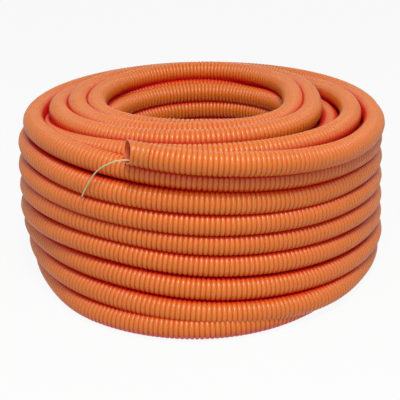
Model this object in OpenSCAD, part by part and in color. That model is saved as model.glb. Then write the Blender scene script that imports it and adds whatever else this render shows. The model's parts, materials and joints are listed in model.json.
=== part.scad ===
// Coil of corrugated electrical conduit with its draw cord.
// Millimetres, +Z up. The origin is on the coil's axis, at the level that it lies on.
// Angles around the coil are 0 at the front (-Y) and grow towards +X, counter-clockwise from above.

/* [Conduit] */
// Outside diameter over the ribs
conduit_d = 25; // [24:0.5:28]
// Depth of the groove between two ribs
rib_depth = 1.7; // [1.2:0.1:2]
// Wall thickness of the plastic
wall = 0.8; // [0.6:0.1:1]
// Distance from one rib to the next
rib_pitch = 5; // [4:0.25:6]

/* [Coil] */
// Diameter across the outermost turns
coil_d = 438; // [420:1:480]
// Clear diameter through the middle of the coil
eye_d = 200; // [190:1:220]
// Number of turns side by side, from the eye to the outside
layers = 5; // [4:1:6]
// Number of turns one above another
levels = 8; // [6:1:10]
// How far the ribs of two stacked turns sink into each other
nesting = 1.6; // [1:0.1:2]

/* [Free end] */
// Angle around the coil at which the free end leaves the top turn
leave_angle = 75; // [72:1:78]
// Angle that the free end runs back towards the front before its straight tip
free_arc = 86; // [82:1:88]
// Radius of the free end, as a share of the radius of the turn that it leaves
spring_out = 1.05; // [1.03:0.01:1.08]
// Clear gap under the free end where its straight tip starts
mouth_gap = 2.6; // [2:0.2:6]
// Number of ribs cut on the bent part of the free end
bent_ribs = 9; // [4:1:12]
// Number of ribs on the straight tip
tip_ribs = 5; // [4:1:5]

/* [Draw cord] */
// Diameter of the draw cord
cord_d = 1.6; // [1.2:0.1:2]

/* [Hidden] */
$fn = 96;

// Radii and pitches that the driving dimensions give.
conduit_r = conduit_d / 2;
groove_r = conduit_r - rib_depth;
bore_r = groove_r - wall;
turn_pitch = conduit_d - nesting;
outer_turn_r = coil_d / 2 - conduit_r;
inner_turn_r = eye_d / 2 + conduit_r;
layer_pitch = (outer_turn_r - inner_turn_r) / (layers - 1);
top_turn_z = conduit_r + (levels - 1) * turn_pitch;
// The outermost turns lie half a turn lower than their neighbours, in the hollows between them.
top_outer_z = top_turn_z - turn_pitch / 2;

// The free end leaves the top outer turn, starting a little inside it so that the two meet at a
// clear angle, and rises over it towards the front.
end_r = outer_turn_r * spring_out;
bury = 1.8;
climb = conduit_d + mouth_gap + bury;
climb_lean = asin(climb / (end_r * (1 - cos(free_arc))));
tip_length = tip_ribs * rib_pitch;
rib_angle = rib_pitch / end_r * 180 / PI;
// Share of the pitch that a rib takes; the groove has the rest.
rib_share = 0.8;
// How far a cut runs past the face that it opens.
overrun = 1;
// The bend squeezes the bore a little. The bore runs back as far as it lies clear above the turn
// that the free end leaves.
squeeze = 0.3;
bent_bore_r = bore_r - squeeze;
clear_height = conduit_r + wall + bent_bore_r + bury;
hollow_arc = free_arc - acos(1 - clear_height / climb * (1 - cos(free_arc)));

// Frame of the section where the free end starts: X points outwards, Y along the turn, Z up.
module at_leaving() {
    rotate([0, 0, leave_angle - 90])
        translate([outer_turn_r - bury, 0, top_outer_z - bury])
            children();
}

// The free end's arc, of tube of radius tube_r, from angle a to angle b along its run. It lies in
// a plane leaned about the run, so that it climbs as it bends.
module arc_tube(tube_r, a, b) {
    rotate([0, climb_lean, 0])
        translate([-end_r, 0, 0])
            rotate([0, 0, a])
                rotate_extrude(angle = b - a)
                    translate([end_r, 0])
                        circle(tube_r);
}

// Frame of the section at angle a along that arc.
module along_arc(a) {
    rotate([0, climb_lean, 0])
        translate([-end_r, 0, 0])
            rotate([0, 0, a])
                translate([end_r, 0, 0])
                    children();
}

// Section through the turns that show, with a plain filling between them.
module coil_section() {
    for (i = [0 : layers - 2], k = [0 : levels - 1])
        if (i == 0 || k == 0 || k == levels - 1)
            translate([inner_turn_r + i * layer_pitch, conduit_r + k * turn_pitch])
                circle(conduit_r);
    for (k = [0 : levels - 2])
        translate([outer_turn_r, top_outer_z - k * turn_pitch])
            circle(conduit_r);
    translate([inner_turn_r, conduit_r])
        square([(layers - 2) * layer_pitch, (levels - 1) * turn_pitch]);
    translate([inner_turn_r, conduit_r + turn_pitch / 2])
        square([(layers - 1) * layer_pitch, (levels - 2) * turn_pitch]);
}

// The free end's bent stretch: plain tube, then ribs standing on the groove diameter.
module bent_end() {
    plain = free_arc - bent_ribs * rib_angle;
    half = rib_share / 2;
    arc_tube(conduit_r, -plain, 0);
    arc_tube(groove_r, -free_arc, -plain);
    for (n = [0 : bent_ribs - 1])
        arc_tube(conduit_r,
            -free_arc + (n + 0.5 - half) * rib_angle, -free_arc + (n + 0.5 + half) * rib_angle);
}

// Half outline of one rib of the straight tip, standing on the groove diameter.
module rib_section() {
    foot = rib_share / 2 * rib_pitch;
    shoulder = 0.32 * rib_pitch;
    crest = 0.18 * rib_pitch;
    shoulder_r = conduit_r - 0.3 * rib_depth;
    polygon([[0, -foot], [groove_r, -foot], [shoulder_r, -shoulder], [conduit_r, -crest],
             [conduit_r, crest], [shoulder_r, shoulder], [groove_r, foot], [0, foot]]);
}

// The straight tip: a hollow tube of rounded ribs, with both of its ends in a groove. The middle
// of its wall reaches into the wall of the bend, so that the two are one.
module tip() {
    rotate_extrude() {
        difference() {
            union() {
                square([groove_r, tip_length]);
                for (n = [0 : tip_ribs - 1])
                    translate([0, (n + 0.5) * rib_pitch])
                        rib_section();
            }
            translate([-overrun, -overrun])
                square([bore_r + overrun, tip_length + 2 * overrun]);
        }
        translate([bore_r + wall / 4, -overrun])
            square([wall / 2, 2 * overrun]);
    }
}

module conduit() {
    color([0.88, 0.42, 0.18]) {
        difference() {
            union() {
                rotate_extrude() coil_section();
                at_leaving() bent_end();
            }
            at_leaving()
                arc_tube(bent_bore_r, -free_arc - overrun, -free_arc + hollow_arc);
        }
        at_leaving()
            along_arc(-free_arc)
                rotate([90, 0, 0])
                    tip();
    }
}

// The draw cord is a tube through a list of points: rings of corners, square to the run.
cord_sides = 8;

function unit(v) = v / norm(v);
function along(points, i) =
    unit(points[min(i + 1, len(points) - 1)] - points[max(i - 1, 0)]);
function ring(points, i, r) =
    let (t = along(points, i), s = unit(cross(t, [0.3, 0.8, -0.5])), u = cross(t, s))
    [for (j = [0 : cord_sides - 1])
        points[i] + r * (cos(j * 360 / cord_sides) * s + sin(j * 360 / cord_sides) * u)];

module tube(points, d) {
    n = len(points);
    polyhedron(
        points = [for (i = [0 : n - 1], q = ring(points, i, d / 2)) q],
        faces = concat(
            [[for (j = [cord_sides - 1 : -1 : 0]) j]],
            [[for (j = [0 : cord_sides - 1]) (n - 1) * cord_sides + j]],
            [for (i = [0 : n - 2], j = [0 : cord_sides - 1])
                [i * cord_sides + j, i * cord_sides + (j + 1) % cord_sides,
                 (i + 1) * cord_sides + (j + 1) % cord_sides, (i + 1) * cord_sides + j]]));
}

// The draw cord's run: along the bore, over the lip of the mouth and down in front of two turns.
cord_points = [
    [-32, -213.5, 186.5], [-42, -211.5, 185.3], [-52, -209.5, 185], [-62, -207.3, 185.7],
    [-69, -205.8, 186.5], [-74, -204.8, 187], [-79, -204.2, 187], [-84, -203.6, 186.4],
    [-89, -202.7, 185], [-94, -201.2, 182.6], [-99, -199, 179.6], [-103.5, -196.7, 176.3],
    [-107.5, -194.4, 172.4], [-111, -192.5, 168], [-114, -190.8, 163.4], [-116.8, -189.2, 158.8],
    [-119.3, -187.9, 154.3], [-121.6, -186.6, 149.8], [-123.6, -185.4, 145.6], [-125.2, -184.3, 141.6]
];

module draw_cord() {
    color([0.86, 0.90, 0.70]) tube(cord_points, cord_d);
}

conduit();
draw_cord();
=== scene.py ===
# %% [markdown]
# # A coil of corrugated conduit
#
# The real thing is one long piece of ribbed plastic tube, wound by machine into a coil of about five
# turns side by side and eight high. Its outer end springs up off the coil, and the draw cord hangs
# out of it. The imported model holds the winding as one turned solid. Here it gets its real turns.

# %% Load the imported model
import json

import bpy
import numpy as np
from mathutils import Matrix, Vector


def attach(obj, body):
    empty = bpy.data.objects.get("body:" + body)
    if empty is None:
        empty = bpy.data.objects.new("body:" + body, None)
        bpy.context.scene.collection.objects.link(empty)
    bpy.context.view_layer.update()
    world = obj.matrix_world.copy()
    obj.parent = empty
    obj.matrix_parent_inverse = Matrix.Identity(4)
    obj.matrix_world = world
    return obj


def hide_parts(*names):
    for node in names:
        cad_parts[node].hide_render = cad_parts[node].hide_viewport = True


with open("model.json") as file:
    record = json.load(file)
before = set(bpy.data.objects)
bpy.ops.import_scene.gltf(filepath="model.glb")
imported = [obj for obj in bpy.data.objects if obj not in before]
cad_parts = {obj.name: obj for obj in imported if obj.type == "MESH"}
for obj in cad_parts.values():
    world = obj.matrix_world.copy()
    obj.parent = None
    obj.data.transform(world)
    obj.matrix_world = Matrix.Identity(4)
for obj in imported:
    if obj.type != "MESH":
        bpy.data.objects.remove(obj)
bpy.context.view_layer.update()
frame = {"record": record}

# %% [markdown]
# ## Sizes
#
# Every size is in millimetres here and becomes metres when it goes into a mesh. The tube's sizes are
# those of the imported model: ribs stand on a smaller groove diameter, one every 5 mm.

# %% Sizes of the tube
MM = 0.001
CREST_R = 12.5
RIB_DEPTH = 1.7
GROOVE_R = CREST_R - RIB_DEPTH
WALL = 0.8
RIB_PITCH = 5.0
CORD_D = 1.6
print("groove radius", GROOVE_R, "mm")

# %% [markdown]
# ## A smooth line through a few stations
#
# A winding is a path, and a path is easiest to set by its radius and height at a few angles around
# the coil. A cubic curve through those stations gives every point between them. Angles are 0 at the
# front and grow counter-clockwise as seen from above, and they keep counting from turn to turn.


# %% Cubic curve through stations, and the winding's line
def through(knots, values, at):
    """Cubic through values at knots: each value weighs (1 + 2t)(1 - t)^2 and t^2(3 - 2t), and each
    slope t(1 - t)^2 and t^2(t - 1), for t from 0 to 1 between two knots."""
    knots = np.asarray(knots, float)
    values = np.asarray(values, float)
    slopes = np.gradient(values, knots)
    i = np.clip(np.searchsorted(knots, at, side="right") - 1, 0, len(knots) - 2)
    h = knots[i + 1] - knots[i]
    t = np.clip((at - knots[i]) / h, 0, 1)
    return (
        (1 + 2 * t) * (1 - t) ** 2 * values[i]
        + t * (1 - t) ** 2 * h * slopes[i]
        + t**2 * (3 - 2 * t) * values[i + 1]
        + t**2 * (t - 1) * h * slopes[i + 1]
    )


def winding(stations, step=1.5):
    """Points x = r sin a, y = -r cos a, z, with r and z cubic in the angle a through the stations,
    which are rows of angle in degrees, radius and height."""
    angle, radius, height = np.array(stations, float).T
    at = np.linspace(angle[0], angle[-1], int((angle[-1] - angle[0]) / step) + 2)
    r = through(angle, radius, at)
    z = through(angle, height, at)
    a = np.radians(at)
    return np.stack([r * np.sin(a), -r * np.cos(a), z], axis=1)


print("a plain turn has", len(winding([[0, 200, 0], [360, 200, 25]])), "points")


# %% [markdown]
# ## The corrugated tube
#
# Ribs could be a displacement or an array of rings, but the tube bends all the way, so its surface is
# worked out directly: circles carried along the path, whose radius goes up and down once per rib.
# The notches between the ribs are narrow and the crests broad. One attribute keeps how high on the
# rib each point lies, and another marks the cut edge of an open end, because the colour follows them.

# %% Surface of a corrugated tube
RIB_AT = np.array([0, 0.10, 0.22, 0.50, 0.78, 0.90])
RIB_HEIGHT = np.array([0, 0.55, 0.90, 1.0, 0.90, 0.55])
BORE_DEPTH = 30


def rib_height(along, ribs, length):
    """Height from 0 to 1 on the rib at each distance: straight lines between the heights above."""
    share = (np.asarray(along) * ribs / length) % 1
    return np.interp(share, np.append(RIB_AT, 1), np.append(RIB_HEIGHT, 0))


def corrugated(name, line, sides=16, open_start=False, slant=0.0):
    """Circles of radius groove + depth * rib height, square to the line, whose first corner is
    level and outwards and which turn downwards from there. An open start has the same rings again
    inside, one wall smaller, and its cut is set back by slant * (1 + cos turn), which fades out
    over the bore's depth."""
    run = np.concatenate([[0], np.cumsum(np.linalg.norm(np.diff(line, axis=0), axis=1))])
    length = run[-1]
    ribs = int(round(length / RIB_PITCH))
    along = np.append((np.arange(ribs)[:, None] + RIB_AT).ravel() / ribs * length, length)
    inner = along[along <= BORE_DEPTH][::-1] if open_start else along[:0]
    shrink = np.where(np.arange(len(inner) + len(along)) < len(inner), WALL, 0)[:, None]
    turn = np.arange(sides) * 2 * np.pi / sides
    along = np.concatenate([inner, along])[:, None]
    along = along + slant * (1 + np.cos(turn)) * np.clip(1 - along / BORE_DEPTH, 0, 1)
    height = rib_height(along, ribs, length)
    radius = GROOVE_R + RIB_DEPTH * height - shrink
    slope = np.gradient(line, run, axis=0)
    centre = np.stack([np.interp(along, run, line[:, k]) for k in range(3)], axis=-1)
    ahead = np.stack([np.interp(along, run, slope[:, k]) for k in range(3)], axis=-1)
    ahead /= np.linalg.norm(ahead, axis=-1, keepdims=True)
    up = np.array([0, 0, 1.0]) - ahead[..., 2:3] * ahead
    up /= np.linalg.norm(up, axis=-1, keepdims=True)
    out = np.cross(ahead, up)
    points = centre + radius[..., None] * (
        np.cos(turn)[:, None] * out - np.sin(turn)[:, None] * up
    )
    # The inside of the bore takes the groove's colour, which is painted shade.
    height[: len(inner)] = 0
    edge = np.zeros_like(height)
    edge[max(len(inner) - 1, 0) : len(inner) + 1] = 1 if open_start else 0
    return tube_mesh(name, points, height.ravel(), edge.ravel())


def tube_mesh(name, points, crest, edge=None):
    """Rows of rings become a closed mesh: a quad between each two corners and the next ring's, and a
    flat face at each end. The attributes crest and edge hold one value for each corner."""
    rings, sides = points.shape[:2]
    i, j = np.meshgrid(np.arange(rings - 1), np.arange(sides), indexing="ij")
    k = (j + 1) % sides
    quads = np.stack([i * sides + j, i * sides + k, (i + 1) * sides + k, (i + 1) * sides + j], axis=-1)
    faces = quads.reshape(-1, 4).tolist()
    faces.append(list(range(sides))[::-1])
    faces.append([(rings - 1) * sides + s for s in range(sides)])
    mesh = bpy.data.meshes.new(name)
    mesh.from_pydata((points.reshape(-1, 3) * MM).tolist(), [], faces)
    mesh.polygons.foreach_set("use_smooth", np.ones(len(faces), dtype=bool))
    for label, values in (("crest", crest), ("edge", edge)):
        if values is not None:
            kept = mesh.attributes.new(label, "FLOAT", "POINT")
            kept.data.foreach_set("value", values.astype(np.float32))
    mesh.update()
    piece = bpy.data.objects.new(name, mesh)
    bpy.context.scene.collection.objects.link(piece)
    volume = signed_volume(mesh)
    print(f"{name}: {len(quads.reshape(-1, 4)) * 2} triangles, volume {volume * 1e6:.1f} cm3")
    return piece


def signed_volume(mesh):
    """Sum of corner . (corner x corner) / 6 over the triangles, positive where faces point out."""
    mesh.calc_loop_triangles()
    corners = np.empty(len(mesh.vertices) * 3)
    mesh.vertices.foreach_get("co", corners)
    corners = corners.reshape(-1, 3)
    tri = np.empty(len(mesh.loop_triangles) * 3, dtype=np.int32)
    mesh.loop_triangles.foreach_get("vertices", tri)
    a, b, c = corners[tri.reshape(-1, 3)].transpose(1, 0, 2)
    return float(np.einsum("ij,ij->i", a, np.cross(b, c)).sum() / 6)


# %% [markdown]
# ## The outer wall of turns
#
# The outermost layer goes down turn by turn. It lies level round the back and steps down by one
# turn across the front, later at the bottom than at the top, as the winding machine's guide made
# it. Its heights and radii are set every 30 degrees across the front half.

# %% Outer layer, turn by turn
FRONT_ANGLES = np.arange(-90, 91, 30)
OUTER_HEIGHTS = {
    2: [177, 179, 174, 164, 158, 156, 153],
    3: [152, 154, 149, 142, 135, 134, 129],
    4: [128, 131, 127, 119, 114, 111, 105],
    5: [102, 110, 106, 97, 91, 88, 81],
    6: [76, 84, 84, 74, 68, 63, 58],
    7: [52, 59, 59, 50, 43, 38, 34],
    8: [33, 36, 35, 27, 20, 16, 13],
    9: [12.5, 12.5, 12.5, 12.5, 12.5, 12.5, 12.5],
}
OUTER_RADII = {
    2: [198, 200, 201, 200, 200, 199, 197],
    3: [206, 206, 208, 206, 201, 199, 199],
    4: [206, 210, 209, 206, 202, 200, 200],
    5: [206, 211, 207, 205, 201, 201, 201],
    6: [208, 211, 209, 207, 203, 200, 203],
    7: [208, 206, 211, 213, 207, 202, 205],
    8: [202, 206, 216, 222, 215, 201, 201],
    9: [197, 201, 221, 226, 207, 176, 175],
}


def outer_layer():
    """Stations of the outer layer from the right of its first turn: the front half of each turn as
    set above, and the back half straight from one height to the next at radius 205."""
    rows = [[90, 197, 174], [180, 204, 176]]
    for turn in range(2, 10):
        start = (turn - 1) * 360
        for k, angle in enumerate(FRONT_ANGLES):
            rows.append([start + angle, OUTER_RADII[turn][k], OUTER_HEIGHTS[turn][k]])
        if turn < 9:
            after = (OUTER_RADII[turn + 1][0], OUTER_HEIGHTS[turn + 1][0])
            for share in (1 / 3, 2 / 3):
                height = OUTER_HEIGHTS[turn][-1] * (1 - share) + after[1] * share
                rows.append([start + 90 + 180 * share, 205, height])
    return rows


outer_rows = outer_layer()
print("outer layer has", len(outer_rows), "stations")

# %% [markdown]
# ## The free end
#
# The end springs off the top turn at the right and climbs over it towards the front, then ends in
# a short straight tip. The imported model's mount for a coupler says exactly where that tip lies, so
# its middle and direction are read from the record. The end was cut by hand, so the cut is a little
# slanted and its middle lies where the model's straight cut does.

# %% Free end and outer layer as one line
tip_mount = next(m for m in frame["record"]["mounts"] if abs(m["pos_m"][0]) > 0.01)
tip_middle = np.array(tip_mount["pos_m"]) / MM
tip_axis = np.array(tip_mount["axis"])
TIP_LENGTH = 25
CUT_SLANT = 6
tip_reach = np.linspace(TIP_LENGTH / 2 + CUT_SLANT, -TIP_LENGTH / 2, 14)
tip_line = tip_middle + tip_axis * tip_reach[:, None]
FREE_STATIONS = [
    [-13.6, 216.5, 192.2], [-7.7, 217.5, 190], [2.3, 218, 187], [12.4, 217.5, 184],
    [25, 215, 180], [40, 211, 176.5], [60, 203.5, 174.5], [90, 197, 174],
]
free_line = winding(FREE_STATIONS)
outer_line = np.concatenate([tip_line, free_line[1:-1], winding(outer_rows)])
print("mouth at", np.round(outer_line[0], 1), "mm")

# %% [markdown]
# ## Turns on the top, round the eye and on the floor
#
# The second layer comes up from below at the left of the front. From there the winding runs inwards
# across the top in three turns, dips into the eye and goes down its wall to the inner end. The turns
# on the floor lie flat side by side, and show only from below.

# %% Top spiral, eye wall and floor spiral
TOP_STATIONS = [
    [-650, 124, 160], [-630, 122, 165], [-585, 130, 169], [-540, 135, 170], [-495, 137, 168],
    [-450, 140, 164], [-360, 143, 161], [-270, 150, 163], [-180, 163, 159], [-120, 182, 158],
    [-90, 184, 163], [-60, 184, 173], [-30, 185, 181], [0, 184, 183], [45, 179, 182],
    [90, 172, 180], [135, 180, 174], [180, 187, 168], [225, 180, 175], [270, 170, 183],
    [315, 163, 187], [360, 153, 189], [405, 139, 188], [450, 127, 187], [495, 147, 186],
    [540, 164, 185], [585, 159, 187], [630, 148, 188], [675, 141, 188], [720, 131, 190],
    [765, 116, 188], [810, 106, 190], [855, 122, 191], [900, 140, 191], [945, 136, 189],
    [990, 127, 187], [1035, 121, 187.5], [1080, 112, 187],
]
EYE_STATIONS = [
    [1125, 108, 181], [1170, 107, 171], [1215, 109, 169], [1260, 112, 169],
    [1350, 116, 165], [1440, 112, 160], [1530, 109, 152], [1620, 112, 147.5], [1710, 115, 143],
    [1800, 113, 138], [1890, 111, 131], [1980, 113, 126], [2070, 117, 121], [2160, 112, 116],
    [2250, 112, 109], [2340, 115, 104], [2430, 118, 99], [2520, 113, 93.5], [2610, 111, 87],
    [2700, 116, 81.5], [2790, 117, 76], [2880, 113, 70.5], [2970, 112, 64], [3060, 116, 58.5],
    [3150, 118, 53], [3240, 113, 47.5], [3330, 112, 41], [3420, 116, 35.5], [3510, 118, 30],
    [3600, 113, 24], [3690, 113, 17], [3780, 116, 13], [3870, 114, 12.5],
]
FLOOR_STATIONS = [
    [90, 175, 12.5], [180, 178, 12.5], [270, 179, 12.5], [360, 172, 12.5], [450, 157, 12.5],
    [540, 156, 12.5], [630, 155, 12.5], [720, 148, 12.5], [810, 137, 12.5], [900, 138, 12.5],
]
inner_line = winding(TOP_STATIONS + EYE_STATIONS)
EYE_FROM = 1170
first_angle, last_angle = TOP_STATIONS[0][0], EYE_STATIONS[-1][0]
split = int((EYE_FROM - first_angle) / (last_angle - first_angle) * (len(inner_line) - 1))
top_line = inner_line[: split + 1]
eye_line = inner_line[split:][::-1]
floor_line = winding(FLOOR_STATIONS)
print("top spiral", len(top_line), "points, eye wall", len(eye_line), "points")

# %% [markdown]
# ## Making the tubes
#
# One mesh for the whole conduit would be too heavy to handle, so the outer layer is cut into three
# pieces where nobody sees it, at the back. The tube in the eye has fewer sides because it is in
# shade.

# %% Tube pieces
SEARCH_POINTS = 300


def cut_at_back(line, cuts):
    """Splits the line where it is furthest back in the stretch of SEARCH_POINTS, a little over a
    turn, that follows each given share of it."""
    marks = [0]
    for share in cuts:
        near = int(share * len(line))
        behind = np.arange(near, min(near + SEARCH_POINTS, len(line)))
        marks.append(int(behind[np.argmax(line[behind, 1])]))
    marks.append(len(line) - 1)
    return [line[a : b + 1] for a, b in zip(marks, marks[1:])]


ROUND, COARSE = 16, 12
pieces = []
for number, part in enumerate(cut_at_back(outer_line, (0.30, 0.62))):
    first = number == 0
    slant = CUT_SLANT if first else 0
    pieces.append(corrugated(f"outer_turns_{number + 1}", part, ROUND, first, slant))
pieces.append(corrugated("top_turns", top_line, ROUND))
pieces.append(corrugated("eye_turns", eye_line, COARSE, open_start=True))
pieces.append(corrugated("floor_turns", floor_line, COARSE))

# %% [markdown]
# ## The turns inside
#
# The turns in the middle of the coil never show, but without them light would shine through the
# gaps. A turned ring with a bumpy outline, one bump per turn, fills their place.

# %% Ring for the hidden turns
def hidden_ring(name, inner_r, outer_r, low, high, around=96, turns=6, depth=3):
    """A rectangle whose upright sides swing in and out by depth * |sin(pi * turns * t)|, t from 0
    to 1 up the side, spun round Z."""
    t = np.linspace(0, 1, turns * 6 + 1)
    swing = depth * np.abs(np.sin(np.pi * turns * t))
    outside = np.stack([outer_r - depth + swing, low + (high - low) * t], axis=1)
    inside = np.stack([inner_r + depth - swing, low + (high - low) * t], axis=1)[::-1]
    profile = np.concatenate([outside, inside])
    a = np.arange(around) * 2 * np.pi / around
    r = profile[:, 0][None, :]
    z = np.broadcast_to(profile[:, 1], (around, len(profile)))
    points = np.stack([r * np.sin(a)[:, None], -r * np.cos(a)[:, None], z], axis=-1)
    n = len(profile)
    i, j = np.meshgrid(np.arange(around), np.arange(n), indexing="ij")
    i2, j2 = (i + 1) % around, (j + 1) % n
    quads = np.stack([i * n + j, i2 * n + j, i2 * n + j2, i * n + j2], axis=-1).reshape(-1, 4)
    mesh = bpy.data.meshes.new(name)
    mesh.from_pydata((points.reshape(-1, 3) * MM).tolist(), [], quads.tolist())
    mesh.polygons.foreach_set("use_smooth", np.ones(len(quads), dtype=bool))
    mesh.update()
    piece = bpy.data.objects.new(name, mesh)
    bpy.context.scene.collection.objects.link(piece)
    print(f"{name}: {len(quads) * 2} triangles, volume {signed_volume(mesh) * 1e6:.1f} cm3")
    return piece


pieces.append(hidden_ring("inner_turns", inner_r=133, outer_r=194, low=14, high=148))

# %% [markdown]
# ## The draw cord
#
# A thin twisted cord lies in the tube from end to end. Its tail comes over the lip of the mouth and
# hangs in front of two turns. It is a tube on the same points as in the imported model.

# %% Draw cord
CORD_POINTS = np.array([
    [-32, -213.5, 186.5], [-42, -211.5, 185.3], [-52, -209.5, 185], [-62, -207.3, 185.7],
    [-69, -205.8, 186.5], [-74, -204.8, 187], [-79, -204.2, 187], [-84, -203.6, 186.4],
    [-89, -202.7, 185], [-94, -201.2, 182.6], [-99, -199, 179.6], [-103.5, -196.7, 176.3],
    [-107.5, -194.4, 172.4], [-111, -192.5, 168], [-114, -190.8, 163.4], [-116.8, -189.2, 158.8],
    [-119.3, -187.9, 154.3], [-121.6, -186.6, 149.8], [-123.6, -185.4, 145.6],
    [-125.2, -184.3, 141.6],
])


def cord_tube(name, route, diameter, sides=12, rings=360, lay=13.5):
    """Circles on a cubic line through the route. Their rim goes in and out by a twentieth as
    cos(3 (angle - twist)), so that three strands wind round each other, once in each lay."""
    run = np.concatenate([[0], np.cumsum(np.linalg.norm(np.diff(route, axis=0), axis=1))])
    at = np.linspace(0, run[-1], rings)
    centre = np.stack([through(run, route[:, k], at) for k in range(3)], axis=1)
    ahead = np.gradient(centre, at, axis=0)
    ahead /= np.linalg.norm(ahead, axis=1)[:, None]
    side = np.cross(ahead, [0.3, 0.8, -0.5])
    side /= np.linalg.norm(side, axis=1)[:, None]
    over = np.cross(ahead, side)
    turn = np.arange(sides) * 2 * np.pi / sides
    twist = at[:, None] / lay * 2 * np.pi
    radius = diameter / 2 * (0.95 + 0.05 * np.cos(3 * (turn[None, :] - twist)))
    ring = np.cos(turn)[:, None] * side[:, None, :] + np.sin(turn)[:, None] * over[:, None, :]
    points = centre[:, None, :] + radius[:, :, None] * ring
    return tube_mesh(name, points, np.ones(len(at) * sides)), run[-1], centre


cord, cord_length, cord_line = cord_tube("draw_cord_tail", CORD_POINTS, CORD_D)
print("cord length", round(float(cord_length), 1), "mm")

# %% [markdown]
# ## Writing materials as sums
#
# A material is a net of nodes. Wrapping each node's output in a small class with + - * lets the
# net be written as ordinary sums. The world's light is such a net too.

# %% Nodes as expressions
class Wire:
    """One output socket of a node tree. Sums and products with it add Math nodes."""

    def __init__(self, finish, socket):
        self.finish = finish
        self.socket = socket

    def maths(self, operation, first, second):
        return self.finish.node("ShaderNodeMath", {"operation": operation}, {0: first, 1: second})

    def __add__(self, other):
        return self.maths("ADD", self, other)

    __radd__ = __add__

    def __mul__(self, other):
        return self.maths("MULTIPLY", self, other)

    __rmul__ = __mul__

    def __sub__(self, other):
        return self.maths("SUBTRACT", self, other)

    def __rsub__(self, other):
        return self.maths("SUBTRACT", other, self)


class Finish:
    """The node tree of a new material or world, and the one way to put a node into it."""

    def __init__(self, owner):
        self.owner = owner
        owner.use_nodes = True
        self.tree = owner.node_tree
        self.tree.nodes.clear()

    def node(self, kind, settings=None, values=None, output=0):
        """Adds a node: its settings first, then the values or wires of its sockets."""
        made = self.tree.nodes.new(kind)
        for key, value in (settings or {}).items():
            setattr(made, key, value)
        for key, value in (values or {}).items():
            if isinstance(value, Wire):
                self.tree.links.new(value.socket, made.inputs[key])
            else:
                made.inputs[key].default_value = value
        return Wire(self, made.outputs[output])

    def noise(self, coordinates, scale, detail=2.0):
        """Smooth noise from 0 to 1, with scale lumps to the metre."""
        values = {"Vector": coordinates, "Scale": scale, "Detail": detail}
        return self.node("ShaderNodeTexNoise", {}, values, "Fac")

    def mix(self, share, first, second):
        """Colour first where share is 0, and colour second where it is 1."""
        values = {"Factor": share, 6: first, 7: second}
        return self.node("ShaderNodeMix", {"data_type": "RGBA"}, values, 2)

    def background_rays(self):
        """1 for rays from the camera, from a gloss and through glass, and 0 for all others: the
        largest of the three, because a ray through rough glass counts as glossy too."""
        seen = self.node("ShaderNodeLightPath", {}, {}, "Is Camera Ray")
        for kind in ("Glossy", "Transmission"):
            also = self.node("ShaderNodeLightPath", {}, {}, f"Is {kind} Ray")
            seen = seen.maths("MAXIMUM", seen, also)
        return seen

    def shade(self, surface, output="ShaderNodeOutputMaterial"):
        """Ends the net in its output node, and gives back the finished material or world."""
        end = self.tree.nodes.new(output)
        self.tree.links.new(surface.socket, end.inputs["Surface"])
        print(self.owner.name, "has", len(self.tree.nodes), "nodes")
        return self.owner


# %% [markdown]
# ## Conduit plastic
#
# The plastic is a satin orange that lets a little light in. The deep red in the nooks between turns
# is painted shade and painted glow in the colour: the Ambient Occlusion node finds the nooks, and a
# share of the groove's depth is added to it so that the plain grooves don't count. The colour follows
# the rib's height, with painted shade in the darker grooves, and a slow cloudiness from the extruder.
# Fine scuffs vary the gloss, the grooves are duller, and the cut edge of the mouth is paler, as torn
# plastic is.

# %% Orange conduit plastic
def conduit_plastic():
    """Colour from the groove's painted shade to body by the crest, to the deep red of painted nook
    shade by how closed in it is, and to pale by the edge. Roughness = 0.22 + 0.12 * scuff + 0.35 * (1
    - crest)."""
    finish = Finish(bpy.data.materials.new("conduit_plastic"))
    place = finish.node("ShaderNodeTexCoord", {}, {}, "Object")
    crest = finish.node("ShaderNodeAttribute", {"attribute_name": "crest"}, {}, "Fac")
    edge = finish.node("ShaderNodeAttribute", {"attribute_name": "edge"}, {}, "Fac")
    open_air = finish.node("ShaderNodeAmbientOcclusion", {"samples": 8}, {"Distance": 0.018}, "AO")
    cloud = finish.noise(place, 14.0)
    scuff = finish.noise(place, 420.0, 4.0)
    grain = finish.noise(place, 1500.0, 2.0)
    body = finish.mix(cloud, (0.68, 0.172, 0.014, 1), (0.76, 0.224, 0.022, 1))
    # Painted shade in the grooves: where the rib is low the colour goes to a darker red.
    ribbed = finish.mix(crest * 0.9 + 0.1 * scuff, (0.62, 0.085, 0.008, 1), body)
    clear = open_air + 0.25 * (1 - crest)
    open_share = finish.node(
        "ShaderNodeMapRange", {}, {"Value": clear, "From Min": 0.42, "From Max": 0.80}
    )
    # Painted shade and painted red glow: the nooks between turns, found by ambient occlusion, take a
    # deep red.
    painted_nook_shade = finish.mix(open_share, (0.66, 0.014, 0.010, 1), ribbed)
    colour = finish.mix(edge * 0.7, painted_nook_shade, (0.90, 0.62, 0.45, 1))
    bump = finish.node(
        "ShaderNodeBump", {}, {"Strength": 0.06, "Distance": 0.0004, "Height": scuff + 0.4 * grain}
    )
    surface = finish.node("ShaderNodeBsdfPrincipled", {}, {
        "Base Color": colour,
        "Roughness": 0.22 + 0.12 * scuff + 0.35 * (1 - crest),
        "IOR": 1.5,
        "Specular IOR Level": 0.45,
        "Subsurface Weight": 0.3,
        "Subsurface Radius": (1.0, 0.25, 0.08),
        "Subsurface Scale": 0.005,
        "Normal": bump,
    })
    return finish.shade(surface)


plastic = conduit_plastic()
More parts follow.
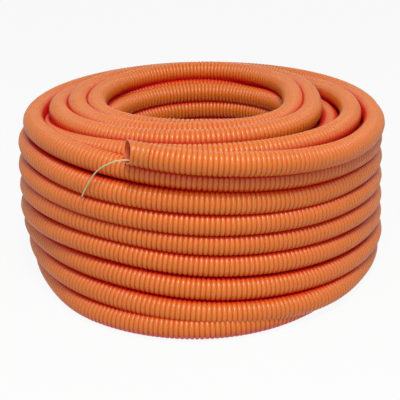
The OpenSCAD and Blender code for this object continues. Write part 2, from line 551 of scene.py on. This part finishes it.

# %% [markdown]
# ## Cord fibre
#
# The draw cord is twisted from a pale yellow-green fibre. Fine noise along with a little bump gives
# the yarn. Then each piece is told which body it rides on, and the imported solids it stands in for
# are hidden.

# %% Cord fibre, and what each piece stands for
def cord_fibre():
    """Pale yellow-green fibre: fine noise for the yarn, darker between the strands."""
    finish = Finish(bpy.data.materials.new("cord_fibre"))
    place = finish.node("ShaderNodeTexCoord", {}, {}, "Object")
    yarn = finish.noise(place, 1800.0, 3.0)
    colour = finish.mix(yarn, (0.50, 0.46, 0.17, 1), (0.68, 0.65, 0.33, 1))
    bump = finish.node("ShaderNodeBump", {}, {"Strength": 0.4, "Distance": 0.0003, "Height": yarn})
    surface = finish.node("ShaderNodeBsdfPrincipled", {}, {
        "Base Color": colour, "Roughness": 0.5 + 0.2 * yarn, "Normal": bump,
    })
    return finish.shade(surface)


for piece in pieces:
    piece.data.materials.append(plastic)
    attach(piece, "root")
    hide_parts("conduit")
cord.data.materials.append(cord_fibre())
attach(cord, "root")
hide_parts("draw_cord")
print("materials set on", len(pieces) + 1, "pieces")

# %% [markdown]
# ## Floor
#
# A wide pale floor shows white to the camera and in gloss, and keeps a faint shadow. It reaches far
# enough that no edge of it shows from the sides.

# %% Floor
def pale_floor():
    """Matt pale grey that catches the shadow, shown as white by 0.92 to the rays that see it."""
    finish = Finish(bpy.data.materials.new("pale_floor"))
    share = 0.92 * finish.background_rays()
    shade = finish.node("ShaderNodeBsdfDiffuse", {}, {"Color": (0.72, 0.72, 0.72, 1)})
    white = finish.node("ShaderNodeEmission", {}, {"Color": (1, 1, 1, 1), "Strength": 1.0})
    return finish.shade(finish.node("ShaderNodeMixShader", {}, {0: share, 1: shade, 2: white}))


FLOOR_HALF = 40.0
floor_mesh = bpy.data.meshes.new("floor")
floor_corners = np.array([[-1, -1, 0], [1, -1, 0], [1, 1, 0], [-1, 1, 0]]) * FLOOR_HALF
floor_mesh.from_pydata(floor_corners.tolist(), [], [(0, 1, 2, 3)])
floor = bpy.data.objects.new("floor", floor_mesh)
floor.data.materials.append(pale_floor())
bpy.context.scene.collection.objects.link(floor)
print("floor", 2 * FLOOR_HALF, "m across")

# %% [markdown]
# ## Light
#
# Soft studio light: a round lamp hangs above and in front, a wider one stands lower behind the
# camera, and the world fills the shade. White surroundings show only to the camera, in gloss and
# through glass, so they don't wash out the coil's own colour.

# %% Light
FILL = 0.26


def white_surroundings():
    """World: white of strength 1 to the camera, in reflections and through glass, and a moderate
    fill of strength FILL for the rest: FILL + (1 - FILL) * (camera + glossy + transmission)."""
    finish = Finish(bpy.data.worlds.new("surroundings"))
    strength = FILL + (1 - FILL) * finish.background_rays()
    sky = finish.node("ShaderNodeBackground", {}, {"Color": (1, 1, 1, 1), "Strength": strength})
    bpy.context.scene.world = finish.shade(sky, "ShaderNodeOutputWorld")
    print("world fill", FILL)


white_surroundings()


def softbox(name, place, aim, size, watts):
    """A round lamp at place, turned so that its -Z points at aim, both in metres."""
    data = bpy.data.lights.new(name, "AREA")
    data.shape = "DISK"
    data.size = size
    data.energy = watts
    lamp = bpy.data.objects.new(name, data)
    lamp.location = place
    lamp.rotation_euler = (Vector(aim) - Vector(place)).to_track_quat("-Z", "Y").to_euler()
    bpy.context.scene.collection.objects.link(lamp)
    print(name, size, "m across,", watts, "W")


softbox("lamp_above", (0.1, -0.8, 1.45), (0, 0, 0.1), 0.5, 15.5)
softbox("lamp_front", (-0.1, -1.8, 1.15), (0, 0, 0.1), 1.2, 7)

# %% [markdown]
# ## Camera
#
# The camera looks down at the front of the coil from about a metre away, a little tilted. Its place
# is worked out from its distance and its angle above the floor.

# %% Camera
DISTANCE = 1121.4
ELEVATION = np.radians(21.76)
LENS = 81.76
TARGET_X, TARGET_Z = -5.6, 62.5
ROLL = np.radians(-0.85)

camera_data = bpy.data.cameras.new("camera")
camera_data.sensor_width = 36
camera_data.lens = LENS
camera_data.clip_start = 0.05
camera_data.clip_end = 50
camera = bpy.data.objects.new("camera", camera_data)
sin_e, cos_e = np.sin(ELEVATION), np.cos(ELEVATION)
look = Matrix(((1, 0, 0), (0, sin_e, -cos_e), (0, cos_e, sin_e))).to_4x4()
place = Matrix.Translation(
    (TARGET_X * MM, -cos_e * DISTANCE * MM, (TARGET_Z + sin_e * DISTANCE) * MM)
)
camera.matrix_world = place @ look @ Matrix.Rotation(ROLL, 4, "Z")
bpy.context.scene.collection.objects.link(camera)
bpy.context.scene.camera = camera
bpy.context.scene.view_settings.view_transform = "Standard"
print("camera lens", round(camera_data.lens, 1), "mm")
